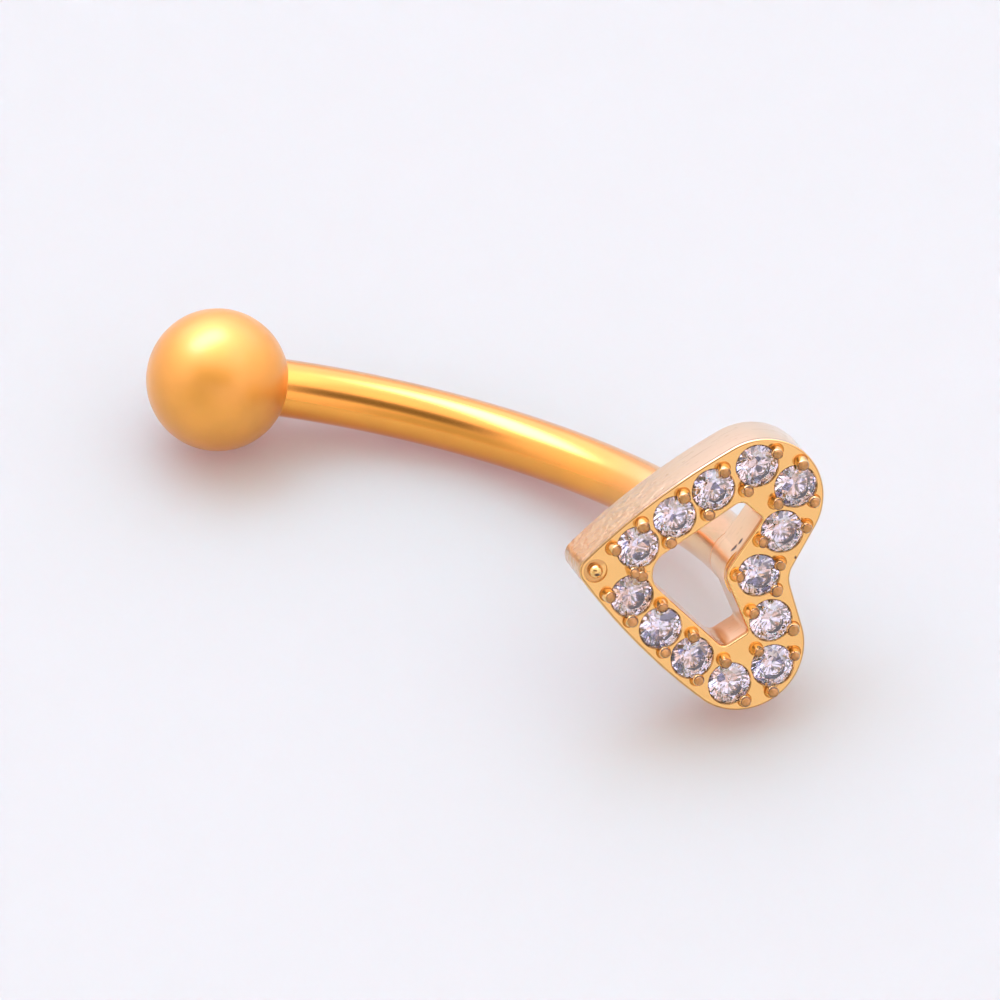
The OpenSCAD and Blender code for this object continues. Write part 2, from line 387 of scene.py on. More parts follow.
def round_gold(name, gold, rough, reflected_gold=None):
    """The bar's and the ball's gold: polished round, with soft clouds and a fine grain.
    The second colour, a painted reflection of the heart's light, comes in near the heart."""
    finish, tree, shader = start_gold(name, ROUND_COAT)
    where = tree.coordinates()
    tint = gold
    if reflected_gold:
        above = (tree.dot(where, face_out) - face_out.dot(LAY.translation)) / MM
        # painted reflection: the bar's colour turns paler near the heart
        tint = tree.blend(tree.ramp(above, *HEART_REFLECTION_HEIGHTS), gold, reflected_gold)
    cloud = noise(tree, where, ROUND_CLOUDS, CLOUD_DETAIL)
    tint = tree.blend(tree.ramp(cloud, *CLOUD_FROM_TO) * CLOUD_SHADE, tint, BLACK)
    grain = bump(tree, noise(tree, where, ROUND_GRAIN), ROUND_BUMP, ROUND_BUMP_STRENGTH)
    feed(tree, shader, Base_Color=tint, Roughness=rough + cloud * CLOUD_ROUGH, Normal=grain)
    return finish


ball_gold = round_gold("ball_gold", BALL_GOLD, BALL_ROUGH)
bar_gold = round_gold("bar_gold", GOLD, BAR_ROUGH, HEART_REFLECTION_GOLD)
print(len(bar_gold.node_tree.nodes), "nodes in the bar's gold")

# %% [markdown]
# The heart has two finishes. Its face was polished flat, but its edge was only cut: it
# is satin, hammered near the tip, with fine lines that run round it and small pits. Its
# colour is painted paler than the face's, a painted sheen of grazing light, and darker
# at the tip. The opening's walls have a paler painted sheen still, and painted shade in
# deeper gold close under the face and in one corner. The claws' tops were cut off and
# left dull; their darker brown is a painted reflection of the dark camera. Outside, a
# thin dark line on either side of the rounded edge is a painted reflection. One material
# holds all of this: each finish has a mask, worked out from the height over the face, the
# way that the surface looks and the place in the plan. The pattern is drawn in the
# heart's own directions and squeezed along its thickness, so the lines follow the edge
# all the way round.

# %% The heart's colours and patterns
FACE_GOLD = (0.88, 0.54, 0.17, 1)
FACE_DEEP = (0.83, 0.49, 0.14, 1)
# painted sheen: the edge and the opening's walls are coloured paler than the face, as grazing light
# shows them
EDGE_SHEEN_GOLD = (0.83, 0.6, 0.36, 1)
EDGE_TIP_GOLD = (0.71, 0.44, 0.19, 1)
OPENING_SHEEN_GOLD = (0.94, 0.6, 0.31, 1)
# painted shade: deeper gold under the face inside the opening and in one corner
RIM_SHADE_GOLD = (0.66, 0.26, 0.02, 1)
# painted reflection of the dark camera: the claws' tops are darker brown
CLAW_TOP_REFLECTION_GOLD = (0.54, 0.26, 0.07, 1)
# dark brown for the scratches and pits, and for the painted dark lines by the rounded edge
SCRATCH_AND_EDGE_LINE_DARK = (0.42, 0.17, 0.04, 1)
# near-black for the marks: partly painted shade, and a painted dark reflection on the grain
NEAR_BLACK_MARKS = (0.1, 0.04, 0.015, 1)
HEART_COAT = 1.0
FACE_ROUGH = 0.12
EDGE_ROUGH = 0.26
# Patterns: how many to a millimetre along the plan's length, its width and its thickness
LINES = (1.2, 1.2, 22.0)
PITS = (4.5, 4.5, 9.0)
HAMMERED = (5.0, 5.0, 5.0)
PITTED_PATCHES = (2.0, 2.0, 2.0)
HEART_CLOUDS = 900.0
HEART_GRAIN = 12000.0
# How far towards the tip the edge starts to be pitted, and where it is fully so
PITTED_FROM_TO = (1.2, 3.2)
# Height bands over the face, in millimetres
EDGE_UNDER = (-0.04, -0.01)
LOWER_EDGE_LINE = (-0.1, -0.04)
UPPER_EDGE_LINE = (-0.008, -0.0004)
# the band inside the opening that is painted with shade
FRONT_RIM = (-0.14, -0.004)
CLAW_TOPS_OVER = (0.15, 0.2)
# How squarely a surface looks along the face's direction: the edge doesn't, the tops do
EDGE_LOOKS = (0.35, 0.75)
CLAW_TOPS_LOOK = (0.6, 0.85)
# The opening in the plan: its slanted sides, and its end before the middle stone
OPENING_SLANT = 0.6
OPENING_SIDES = (2.05, 2.15)
OPENING_END = (0.0, 0.1)

# %% [markdown]
# A few dark marks have a place of their own: two nicks by the claws, two short
# scratches in the opening's wall, a speck at the notch and one on the grain. All are
# painted near-black: on the nicks and scratches the dark is partly painted shade, and
# the speck on the grain is a painted dark reflection.

# %% Marks of wear, partly painted shade and reflection
# Each mark: place in the heart's plan and height, and half its size along each
MARKS = [
    ((-0.07, -0.732, 0.0), (0.06, 0.06, 0.1)),
    ((-0.441, 0.02, 0.0), (0.1, 0.02, 0.1)),
    ((-0.377, 0.619, -0.29), (0.08, 0.08, 0.05)),
    ((-0.47, 0.45, -0.34), (0.1, 0.1, 0.06)),
    ((0.733, 0.405, -0.02), (0.03, 0.04, 0.05)),
    # the speck on the grain, a painted dark reflection
    ((-3.45, -0.04, 0.14), (0.06, 0.035, 0.1)),
]
# Painted shade in deeper gold in the opening's corner on the near side, given in the same way
SHADED_CORNER = [((-0.5, -1.5, -0.55), (0.17, 0.17, 0.65))]
MARK_FADES = (0.6, 1.2)
print(len(MARKS), "marks of wear")

# %% [markdown]
# Masks are drawn in the plan, so two small functions find a point's place there and
# squeeze a pattern along it. Three more draw the masks: each gives a wire that is 1 in
# its own place.

# %% Masks in the heart's plan
def heart_plan(tree, where):
    """The heart's own coordinates in millimetres, as wires: length, width and height."""
    origin = LAY.translation
    wires = []
    for axis in LAY.to_3x3().transposed():
        way = axis.normalized()
        wires.append((tree.dot(where, way) - way.dot(origin)) / MM)
    return wires


def squeezed(tree, plan, scales):
    return tree.out("ShaderNodeCombineXYZ", None,
                    {i: wire * scale for i, (wire, scale) in enumerate(zip(plan, scales))})


def between(tree, value, low, high, soft):
    """1 between two heights, 0 elsewhere."""
    return tree.ramp(value, low, low + soft) * (1 - tree.ramp(value, high - soft, high))


def in_opening(tree, plan):
    """1 on the opening's walls: between two slanted lines and short of the middle stone."""
    aside = tree.maths("ABSOLUTE", plan[1]) - plan[0] * OPENING_SLANT
    return (1 - tree.ramp(aside, *OPENING_SIDES)) * (1 - tree.ramp(plan[0], *OPENING_END))


def near_places(tree, plan, places):
    """1 inside small round places of the plan."""
    found = 0.0
    for place, half in places:
        away = [(wire - c) / h for wire, c, h in zip(plan, place, half)]
        far = tree.maths("SQRT", away[0] * away[0] + away[1] * away[1] + away[2] * away[2])
        found = tree.maths("MAXIMUM", 1 - tree.ramp(far, *MARK_FADES), found)
    return found


# %% [markdown]
# Now the masks are put together. Each blend lays one colour over the last, from the
# widest to the smallest. Roughness and height are sums over the same masks, and the
# numbers in front of them say how strongly each one counts.

# %% The heart's gold
CELL_PIT = (0.12, 0.3)
PATCH_FROM_TO = (0.42, 0.55)
STREAK_FROM_TO = (0.6, 0.72)
FACE_PITS, TIP_PITS = 0.2, 0.8
TIP_STREAKS_LESS = 0.6
LINE_DETAIL = 4.0
LOWER_FADE, UPPER_FADE, RIM_FADE = 0.015, 0.0005, 0.03
PIT_TINT, STREAK_TINT, EDGE_LINE_TINT, RIM_SHADE_TINT = 0.8, 0.4, 0.6, 0.9
CLOUD_DULLS, PITS_DULL, TOPS_DULL = 0.05, 0.3, 0.2
# Heights, in units of the bump's own
LINE_UP, HAMMER_UP, TOP_UP, GRAIN_UP = 0.1, 14, 20, 0.04
PIT_DOWN, STREAK_DOWN, MARK_DOWN = 2, 0.4, 2
HEART_BUMP = 0.012 * MM
HEART_BUMP_STRENGTH = 0.5


def heart_finish():
    finish, tree, shader = start_gold("heart_gold", HEART_COAT)
    where = tree.coordinates()
    plan = heart_plan(tree, where)
    over = plan[2]
    looks = tree.maths("ABSOLUTE", tree.dot(tree.coordinates("Normal"), face_out))
    edge = (1 - tree.ramp(looks, *EDGE_LOOKS)) * (1 - tree.ramp(over, *EDGE_UNDER))
    tops = tree.ramp(looks, *CLAW_TOPS_LOOK) * tree.ramp(over, *CLAW_TOPS_OVER)
    # painted reflection: thin dark lines on either side of the rounded edge
    painted_edge_lines = tree.maths("MAXIMUM", between(tree, over, *LOWER_EDGE_LINE, LOWER_FADE),
                         between(tree, over, *UPPER_EDGE_LINE, UPPER_FADE))
    inside = in_opening(tree, plan)
    # painted shade: deeper gold in a band under the face inside the opening and in one corner
    painted_shade = tree.maths("MAXIMUM", between(tree, over, *FRONT_RIM, RIM_FADE),
                      near_places(tree, plan, SHADED_CORNER))
    marks = near_places(tree, plan, MARKS)

    cloud = noise(tree, where, HEART_CLOUDS, CLOUD_DETAIL)
    lines = noise(tree, squeezed(tree, plan, LINES), 1.0, LINE_DETAIL)
    hammered = noise(tree, squeezed(tree, plan, HAMMERED), 1.0, CLOUD_DETAIL)
    cells = tree.out("ShaderNodeTexVoronoi", None,
                     {"Vector": squeezed(tree, plan, PITS), "Scale": 1.0}, "Distance")
    patch = tree.ramp(noise(tree, squeezed(tree, plan, PITTED_PATCHES), 1.0), *PATCH_FROM_TO)
    pitted = tree.ramp(0 - plan[0], *PITTED_FROM_TO)
    pits = edge * (1 - tree.ramp(cells, *CELL_PIT)) * patch * (FACE_PITS + TIP_PITS * pitted)
    streaks = edge * (1 - TIP_STREAKS_LESS * pitted) * tree.ramp(lines, *STREAK_FROM_TO)

    face_tint = tree.blend(cloud, FACE_GOLD, FACE_DEEP)
    # painted sheen: the edge and the opening's walls get paler colours than the face
    edge_sheen_tint = tree.blend(inside, tree.blend(pitted, EDGE_SHEEN_GOLD, EDGE_TIP_GOLD), OPENING_SHEEN_GOLD)
    tint = tree.blend(edge, face_tint, edge_sheen_tint)
    scratched = tree.maths("MAXIMUM", pits * PIT_TINT, streaks * STREAK_TINT)
    tint = tree.blend(scratched, tint, SCRATCH_AND_EDGE_LINE_DARK)
    # painted reflection: the thin dark lines by the rounded edge
    tint = tree.blend(painted_edge_lines * (1 - inside) * EDGE_LINE_TINT, tint, SCRATCH_AND_EDGE_LINE_DARK)
    # painted shade inside the opening
    tint = tree.blend(edge * inside * painted_shade * RIM_SHADE_TINT, tint, RIM_SHADE_GOLD)
    # painted reflection: the claws' tops coloured darker brown
    tint = tree.blend(tops, tint, CLAW_TOP_REFLECTION_GOLD)
    # the marks near-black: partly painted shade on nicks and scratches, a painted dark reflection on
    # the grain
    tint = tree.blend(marks, tint, NEAR_BLACK_MARKS)

    rough = FACE_ROUGH + edge * (EDGE_ROUGH - FACE_ROUGH) + cloud * CLOUD_DULLS
    rough = rough + pits * PITS_DULL + tops * TOPS_DULL
    height = lines * edge * LINE_UP + hammered * (edge * pitted * HAMMER_UP + tops * TOP_UP)
    height = height - pits * PIT_DOWN - streaks * STREAK_DOWN - marks * MARK_DOWN
    height = height + noise(tree, where, HEART_GRAIN) * GRAIN_UP
    slope = bump(tree, height, HEART_BUMP, HEART_BUMP_STRENGTH)
    feed(tree, shader, Base_Color=tint, Roughness=rough, Normal=slope)
    return finish


heart_gold = heart_finish()
print(len(heart_gold.node_tree.nodes), "nodes in the heart's gold")

# %% [markdown]
# Two helpers make most of the metal's shapes. The lathe turns a profile about an axis
# and closes it wherever the profile reaches the axis. The cutter joins or subtracts
# closed meshes, as a workshop would solder and drill. Blender's manifold solver is used,
# which leaves no open edge behind even where several drills and claws meet.

# %% Lathe and cutter
def ball_profile(r, steps):
    """A ball's profile for the lathe, from its lowest point to its highest."""
    arc = [math.pi * i / steps for i in range(1, steps)]
    return [(0, -r)] + [(r * math.sin(a), -r * math.cos(a)) for a in arc] + [(0, r)]


def add_object(name, points, faces, finish=None):
    mesh = bpy.data.meshes.new(name)
    mesh.from_pydata([tuple(p) for p in points], [], faces)
    if finish:
        mesh.materials.append(finish)
    made = bpy.data.objects.new(name, mesh)
    scene.collection.objects.link(made)
    return made


def lathe(name, profile, sides, place=Matrix.Identity(4), finish=None):
    """Turns (radius, height) pairs, from the bottom up on the outside, about Z."""
    points, faces, rings = [], [], []
    turn = [2 * math.pi * i / sides for i in range(sides)]
    for radius, height in profile:
        first = len(points)
        if radius == 0:
            points.append((0, 0, height))
            rings.append([first] * sides)
        else:
            points += [(radius * math.cos(a), radius * math.sin(a), height) for a in turn]
            rings.append(list(range(first, first + sides)))
    for low, high in zip(rings, rings[1:]):
        for i in range(sides):
            j = (i + 1) % sides
            corner = [low[i], low[j], high[j], high[i]]
            faces.append(list(dict.fromkeys(corner)))
    made = add_object(name, points, faces, finish)
    made.data.transform(place)
    return made


def cut(body, tool, operation):
    """Joins or subtracts another object, which is used up."""
    step = body.modifiers.new("cut", "BOOLEAN")
    step.operation = operation
    step.solver = "MANIFOLD"
    step.object = tool
    bake(body)
    bpy.data.objects.remove(tool)


def bake(body):
    """Turns a live object into a plain mesh with no modifiers."""
    graph = bpy.context.evaluated_depsgraph_get()
    mesh = bpy.data.meshes.new_from_object(body.evaluated_get(graph))
    body.modifiers.clear()
    old, body.data = body.data, mesh
    bpy.data.meshes.remove(old)


# %% [markdown]
# Three more helpers look after a mesh: one shades it, one turns its faces outwards, and
# one joins loose bodies. Shading has to keep the heart's face dead flat: a smooth face
# next to a rounded edge takes some of the edge's slope, and a mirror would show it.

# %% Mesh helpers
SHARP_TURN = 30.0
FLAT_COSINE = 0.99999
FLAT_TURN = 1.0
WELD = 1e-5


def smooth(body, angle=SHARP_TURN, flat=None):
    """Shades a mesh smooth, except over edges that turn by more than the angle and round
    the faces that look along the flat direction, which stay flat up to their edge."""
    work = bmesh.new()
    work.from_mesh(body.data)
    for edge in work.edges:
        if len(edge.link_faces) == 2:
            a, b = (face.normal for face in edge.link_faces)
            level = flat and max(abs(a.dot(flat)), abs(b.dot(flat))) > FLAT_COSINE
            edge.smooth = a.angle(b, 0) < math.radians(FLAT_TURN if level else angle)
    for face in work.faces:
        face.smooth = True
    work.to_mesh(body.data)
    work.free()


def square_up(body):
    """Welds corners that share a place and turns every face outwards."""
    work = bmesh.new()
    work.from_mesh(body.data)
    bmesh.ops.remove_doubles(work, verts=work.verts, dist=WELD)
    bmesh.ops.recalc_face_normals(work, faces=work.faces)
    work.to_mesh(body.data)
    work.free()


def join(bodies):
    """One object of several, in the first one."""
    points, faces = [], []
    for body in bodies:
        first = len(points)
        points += [v.co.copy() for v in body.data.vertices]
        faces += [[first + i for i in f.vertices] for f in body.data.polygons]
    name = bodies[0].name
    for body in bodies:
        bpy.data.objects.remove(body)
    return add_object(name, points, faces)


# %% [markdown]
# The bar is 1.2 mm wire bent to one radius. Its sizes come first, and two functions that
# say where a place on it lies: the ball uses them too.

# %% The bar's sizes and line
BAR_D = 1.2
BEND_R = 8.56
BAR_LEN = 13.78
BALL_D = 2.95
HEART_T = 1.17
HEART_TURN = 4.5
# How far the bar's end lies from the middle stone, towards the tip
BAR_BACK = 0.08
BAR_CHAMFER = 0.015
SEAM = 0.003
POST_D = 0.7
POST_LEN = 1.2
POST_GAP = 0.02
BAR_SIDES = 96
BAR_STEPS = 160
shoulder_len = BAR_LEN - math.sqrt((BALL_D / 2) ** 2 - (BAR_D / 2) ** 2)
shoulder = shoulder_len / BEND_R
heart_back = Matrix.Translation((-BAR_BACK, 0, -HEART_T))
bar_root = Vector((-BAR_BACK, 0, -HEART_T - POST_GAP))
bend_way = Vector((-math.cos(math.radians(HEART_TURN)), math.sin(math.radians(HEART_TURN)), 0))


def on_bar(angle):
    """A point of the bar's middle line, given by how far the bar has bent there."""
    down = Vector((0, 0, BEND_R * math.sin(angle)))
    return bar_root + bend_way * BEND_R * (1 - math.cos(angle)) - down


def along_bar(angle):
    """Matrix whose Z runs back along the bar, towards the heart, at a place on the bar."""
    forward = bend_way * math.sin(angle) - Vector((0, 0, math.cos(angle)))
    sideways = Vector((-bend_way.y, bend_way.x, 0))
    across = sideways.cross(-forward)
    turned = Matrix((across, sideways, -forward)).transposed().to_4x4()
    return Matrix.Translation(on_bar(angle)) @ turned


print("the bar bends by", round(math.degrees(shoulder), 1), "degrees")

# %% [markdown]
# Geometry Nodes trees are written with the same class as the materials. A group gets its
# sizes as named inputs, and a modifier finds them by their identifiers. The result is
# turned into a plain mesh, so nothing stays live on the piece.

# %% Geometry Nodes helpers
def new_group(name, sizes):
    """A Geometry Nodes group with named size inputs and one geometry output, and its inputs."""
    group = bpy.data.node_groups.new(name, "GeometryNodeTree")
    face = group.interface
    face.new_socket("Geometry", in_out="INPUT", socket_type="NodeSocketGeometry")
    for label, (kind, _) in sizes.items():
        face.new_socket(label, in_out="INPUT", socket_type=kind)
    face.new_socket("Geometry", in_out="OUTPUT", socket_type="NodeSocketGeometry")
    tree = Tree(group)
    given = tree.node("NodeGroupInput")
    return group, tree, {s.name: Wire(tree, s) for s in given.outputs}


def end_group(tree, geometry, finish):
    solid = tree.out("GeometryNodeRealizeInstances", None, {"Geometry": geometry})
    finished = tree.out("GeometryNodeSetMaterial", None, {"Geometry": solid, "Material": finish})
    tree.node("NodeGroupOutput", None, {"Geometry": finished})


def run_group(group, body, sizes):
    """Runs a group on an object, with its inputs set by identifier, and bakes the result."""
    step = body.modifiers.new("make", "NODES")
    step.node_group = group
    for item in group.interface.items_tree:
        if item.in_out == "INPUT" and item.name in sizes:
            step[item.identifier] = sizes[item.name][1]
    bake(body)


# %% [markdown]
# The bar follows a path, so it is a sweep: a circle along an arc. The hidden post that
# the ball screws on to is soldered on, and the hole for the heart's own post is drilled.
# A cone trims the rim, so that a fine seam shows where the bar meets the heart.

# %% Bar
def bar_sweep():
    """A circle swept along an arc about the origin, which ends at the ball's shoulder."""
    sizes = {
        "Bar Diameter": ("NodeSocketFloat", BAR_D),
        "Bend Radius": ("NodeSocketFloat", BEND_R),
        "Start Angle": ("NodeSocketFloat", -(POST_GAP - SEAM) / BEND_R),
        "Bend Angle": ("NodeSocketFloat", shoulder + (POST_GAP - SEAM) / BEND_R),
        "Steps": ("NodeSocketInt", BAR_STEPS),
        "Sides": ("NodeSocketInt", BAR_SIDES),
    }
    group, tree, size = new_group("bend_a_bar", sizes)
    arc = tree.out("GeometryNodeCurveArc", {"mode": "RADIUS"},
                   {"Resolution": size["Steps"], "Radius": size["Bend Radius"],
                    "Start Angle": size["Start Angle"], "Sweep Angle": size["Bend Angle"]})
    circle = tree.out("GeometryNodeCurvePrimitiveCircle", {"mode": "RADIUS"},
                      {"Resolution": size["Sides"], "Radius": size["Bar Diameter"] / 2})
    skin = tree.out("GeometryNodeCurveToMesh", None,
                    {"Curve": arc, "Profile Curve": circle, "Fill Caps": True})
    end_group(tree, skin, bar_gold)
    bent = add_object("bent_bar", [], [])
    run_group(group, bent, sizes)
    return bent


def rod(name, r, low, high, place, sides=BAR_SIDES):
    """A plain round rod between two heights of a place."""
    return lathe(name, [(0, low), (r, low), (r, high), (0, high)], sides, place)


def make_bar():
    bar = bar_sweep()
    # the arc is drawn about the origin from +X: its start goes to the bar's root
    down = Vector((0, 0, -1))
    sideways = (-bend_way).cross(down)
    turned = Matrix((-bend_way, down, sideways)).transposed().to_4x4()
    centre = bar_root + bend_way * BEND_R
    bar.data.transform(Matrix.Translation(centre) @ turned)
    cut(bar, rod("post", POST_D / 2, -POST_LEN, POST_GAP, along_bar(shoulder)), "UNION")
    bore = rod("bore", POST_D / 2 + POST_GAP, -POST_LEN - POST_GAP, POST_GAP, heart_back)
    cut(bar, bore, "DIFFERENCE")
    # the cone's blunt end is at the heart, and it opens wide enough to miss the rest
    top, wide = BAR_D / 2 - BAR_CHAMFER - SEAM, 2 * BEND_R
    cone = lathe("cone", [(0, -wide), (top + wide, -wide), (top, 0), (0, 0)], BAR_SIDES, heart_back)
    cut(bar, cone, "INTERSECT")
    bar.data.transform(LAY)
    smooth(bar)
    return bar


bar = make_bar()
print("bar", len(bar.data.polygons), "faces")

# %% [markdown]
# The ball is plain, about 3 mm across, with a flat-bottomed hole where the bar goes in.
# A half circle turned on the lathe gives it an even skin, with both poles on the bar's
# line, and the hole for the bar's shoulder and its post is drilled from there.

# %% Ball
BALL_SIDES = 160
BALL_STEPS = 80


def make_ball():
    turned = along_bar(shoulder).to_3x3().to_4x4()
    place = Matrix.Translation(on_bar(BAR_LEN / BEND_R)) @ turned
    ball = lathe("ball", ball_profile(BALL_D / 2, BALL_STEPS), BALL_SIDES, place, ball_gold)
    mouth_r, bore_r, depth = BAR_D / 2 + POST_GAP, POST_D / 2 + POST_GAP, POST_LEN + POST_GAP
    hole = [(0, -depth), (bore_r, -depth), (bore_r, -POST_GAP)]
    hole += [(mouth_r, -POST_GAP), (mouth_r, BAR_D), (0, BAR_D)]
    cut(ball, lathe("hole", hole, BAR_SIDES, along_bar(shoulder)), "DIFFERENCE")
    ball.data.transform(LAY)
    smooth(ball)
    return ball


ball = make_ball()
print("ball", [round(c / MM, 3) for c in ball.dimensions])

# %% [markdown]
# The heart's plan is a chain of arcs that touch: two lobes, two long bulging sides, a
# small tip and a notch. Each chain is walked once, and gives points with their outward
# directions, so that the edge can be rounded by stepping inwards and upwards round a
# quarter circle. Five small functions are all the geometry that this takes.

# %% Chains of arcs
ARC_STEP = 0.045
FEWEST_STEPS = 6
SAME_POINT = 1e-5


def arc_middle(a, ra, b, rb):
    """The point at distance ra from a and rb from b, on the right of the way from a to b."""
    way = (b - a).normalized()
    span = (b - a).length
    s = (ra * ra - rb * rb + span * span) / (2 * span)
    return a + way * s + Vector((way.y, -way.x)) * math.sqrt(ra * ra - s * s)


def touch_way(a, ra, b, rb):
    """Where a straight line touches two circles, on the left of the way from a to b."""
    way = (b - a).normalized()
    c = (ra - rb) / (b - a).length
    return way * c + Vector((-way.y, way.x)) * math.sqrt(1 - c * c)


def walk_arc(middle, r, start, end, hollow=False):
    """Points and outward directions along an arc, the short way round, both ends included."""
    a = math.atan2(start.y - middle.y, start.x - middle.x)
    turn = math.atan2(end.y - middle.y, end.x - middle.x) - a
    turn = (turn + math.pi) % (2 * math.pi) - math.pi
    # a wide arc takes shorter steps, because its flats are longer
    steps = max(FEWEST_STEPS, math.ceil(abs(turn) * max(1.0, r ** 0.5) / ARC_STEP))
    walked = []
    for i in range(steps + 1):
        way = Vector((math.cos(a + turn * i / steps), math.sin(a + turn * i / steps)))
        walked.append((middle + way * r, -way if hollow else way))
    return walked


def mirrored(p):
    return Vector((p.x, -p.y))


def both_halves(arcs):
    """Arcs that run from the axis to the axis, and their mirror image back. Where two arcs
    don't meet, a straight run joins them."""
    half = []
    for p, w in (point for arc in arcs for point in arc):
        if not half or (p - half[-1][0]).length > SAME_POINT:
            half.append((p, w))
    back = [(mirrored(p), mirrored(w)) for p, w in reversed(half[1:-1])]
    return half + back


# %% [markdown]
# Lengths are counted from the middle stone: below zero towards the tip, above it towards
# the notch. The opening has straight runs between its arcs, and each of its outer corners
# was cut, so it has a wide arc, a short straight run and a tight arc there.

# %% The heart's outline and its opening
LOBE = Vector((-0.14, 1.58))
LOBE_R = 1.32
FLANK_R = 13.9
TIP_FAR = 3.78
TIP_R = 0.32
NOTCH_FAR = 0.67
NOTCH_R = 0.53
# The lobe's arc is more than half a turn, so it is walked in two parts, which meet here
LOBE_TOP = Vector((0.3, 1)).normalized()
OPEN_FAR = 2.23
OPEN_TIP_R = 0.5
# The corner before it was cut, the two arcs of the cut, and how far each lies past it
CORNER = Vector((-0.46, 1.19))
CORNER_R = 0.35
CUT_FIRST_R = 0.2
CUT_SECOND_R = 0.08
CUT_PAST_SIDE = 0.02
CUT_PAST_NOSE = 0.15
NOSE_FAR = 0.67
NOSE_R = 0.36


def heart_outline():
    """From the notch round one lobe to the tip, and back."""
    tip = Vector((TIP_R - TIP_FAR, 0))
    notch = Vector((NOTCH_FAR + NOTCH_R, 0))
    flank = arc_middle(tip, FLANK_R - TIP_R, LOBE, FLANK_R - LOBE_R)
    inward = touch_way(LOBE, LOBE_R, notch, -NOTCH_R)
    leave_lobe = flank + (LOBE - flank).normalized() * FLANK_R
    leave_flank = flank + (tip - flank).normalized() * FLANK_R
    return both_halves([
        walk_arc(notch, NOTCH_R, Vector((NOTCH_FAR, 0)), notch - inward * NOTCH_R, hollow=True),
        walk_arc(LOBE, LOBE_R, LOBE + inward * LOBE_R, LOBE + LOBE_TOP * LOBE_R),
        walk_arc(LOBE, LOBE_R, LOBE + LOBE_TOP * LOBE_R, leave_lobe),
        walk_arc(flank, FLANK_R, leave_lobe, leave_flank),
        walk_arc(tip, TIP_R, leave_flank, Vector((-TIP_FAR, 0))),
    ])


def opening_outline():
    """From the end near the tip along one side, round its cut corner and the nose, and
    back. Outward is away from the metal, into the opening."""
    tip = Vector((OPEN_TIP_R - OPEN_FAR, 0))
    nose = Vector((NOSE_R - NOSE_FAR, 0))
    side = touch_way(tip, OPEN_TIP_R, CORNER, CORNER_R)
    inner = touch_way(CORNER, CORNER_R, nose, -NOSE_R)
    first = CORNER + side * (CORNER_R - CUT_FIRST_R) + Vector((side.y, -side.x)) * CUT_PAST_SIDE
    second = CORNER + inner * (CORNER_R - CUT_SECOND_R)
    second = second + Vector((-inner.y, inner.x)) * CUT_PAST_NOSE
    across = touch_way(first, CUT_FIRST_R, second, CUT_SECOND_R)
    start, end = first + side * CUT_FIRST_R, second + inner * CUT_SECOND_R
    return both_halves([
        walk_arc(tip, OPEN_TIP_R, Vector((-OPEN_FAR, 0)), tip + side * OPEN_TIP_R, hollow=True),
        walk_arc(first, CUT_FIRST_R, start, first + across * CUT_FIRST_R, hollow=True),
        walk_arc(second, CUT_SECOND_R, second + across * CUT_SECOND_R, end, hollow=True),
        walk_arc(nose, NOSE_R, nose - inner * NOSE_R, Vector((-NOSE_FAR, 0))),
    ])


outline, opening = heart_outline(), opening_outline()
print("outline", len(outline), "points, opening", len(opening))

# %% [markdown]
# The plate is those two chains given a thickness. Its edges are rounded by a few
# hundredths of a millimetre, which is what catches the thin bright line round the face.

# %% Plate
EDGE_R = 0.045
EDGE_STEPS = 5


def edge_rings():
    """(inset, height) of each ring of the wall, from the front face to the back face."""
    quarter = [math.pi / 2 * i / EDGE_STEPS for i in range(EDGE_STEPS + 1)]
    front = [(EDGE_R * (1 - math.sin(a)), -EDGE_R * (1 - math.cos(a))) for a in quarter]
    return front + [(inset, -HEART_T - height) for inset, height in reversed(front)]


def make_plate():
    points, faces = [], []
    rings = edge_rings()
    loops = []
    for chain in (outline, opening):
        first = len(points)
        for inset, height in rings:
            points += [(p.x - w.x * inset, p.y - w.y * inset, height) for p, w in chain]
        count = len(chain)
        loops.append([first + i for i in range(count)])
        for r in range(len(rings) - 1):
            low, high = first + (r + 1) * count, first + r * count
            for i in range(count):
                j = (i + 1) % count
                faces.append([low + i, low + j, high + j, high + i])
    # both flat faces are cut into the same triangles, turned over at the back
    front = loops[0] + loops[1]
    back = [i + (len(rings) - 1) * len(loop) for loop in loops for i in loop]
    for a, b, c in tessellate_polygon([[Vector(points[i]) for i in loop] for loop in loops]):
        faces.append([front[a], front[b], front[c]])
        faces.append([back[c], back[b], back[a]])
    plate = add_object("heart", points, faces, heart_gold)
    square_up(plate)
    return plate


plate = make_plate()
print("plate", [round(c, 3) for c in plate.dimensions], "mm")

# %% [markdown]
# Each stone sits in a drilled seat that follows its shape, with a little room. Before
# the claws go on, the seats' mouths get a fine chamfer, which shows as a thin bright ring
# round every stone. The seats themselves are drilled last: over the face they narrow like
# the stone's crown, and trim the claws to lie on it. A stone's heights are shares of its
# width, as gem cutters give them.

# %% Seats
STONE_D = 0.87
STONE_GAP = 0.006
GIRDLE_SINK = 0.02
CLAW_H = 0.218
TABLE_SHARE, CROWN_SHARE, GIRDLE_SHARE, PAVILION_SHARE = 0.57, 0.15, 0.03, 0.43
STAR_REACH = 0.5
MAIN_FACETS = 8
SEAT_FLOOR_SHARE = 0.2
SEAT_SIDES = 64
CHAMFER = 0.02
# How far over the face a drill starts
DRILL_UP = 0.1
stone_r = STONE_D / 2
room_r = stone_r + STONE_GAP
seat_places = [LAY.inverted() @ Vector(corners(name).mean(0) * MM) for name in stone_names]
seat_places = [Vector((p.x, p.y, 0)) for p in seat_places]


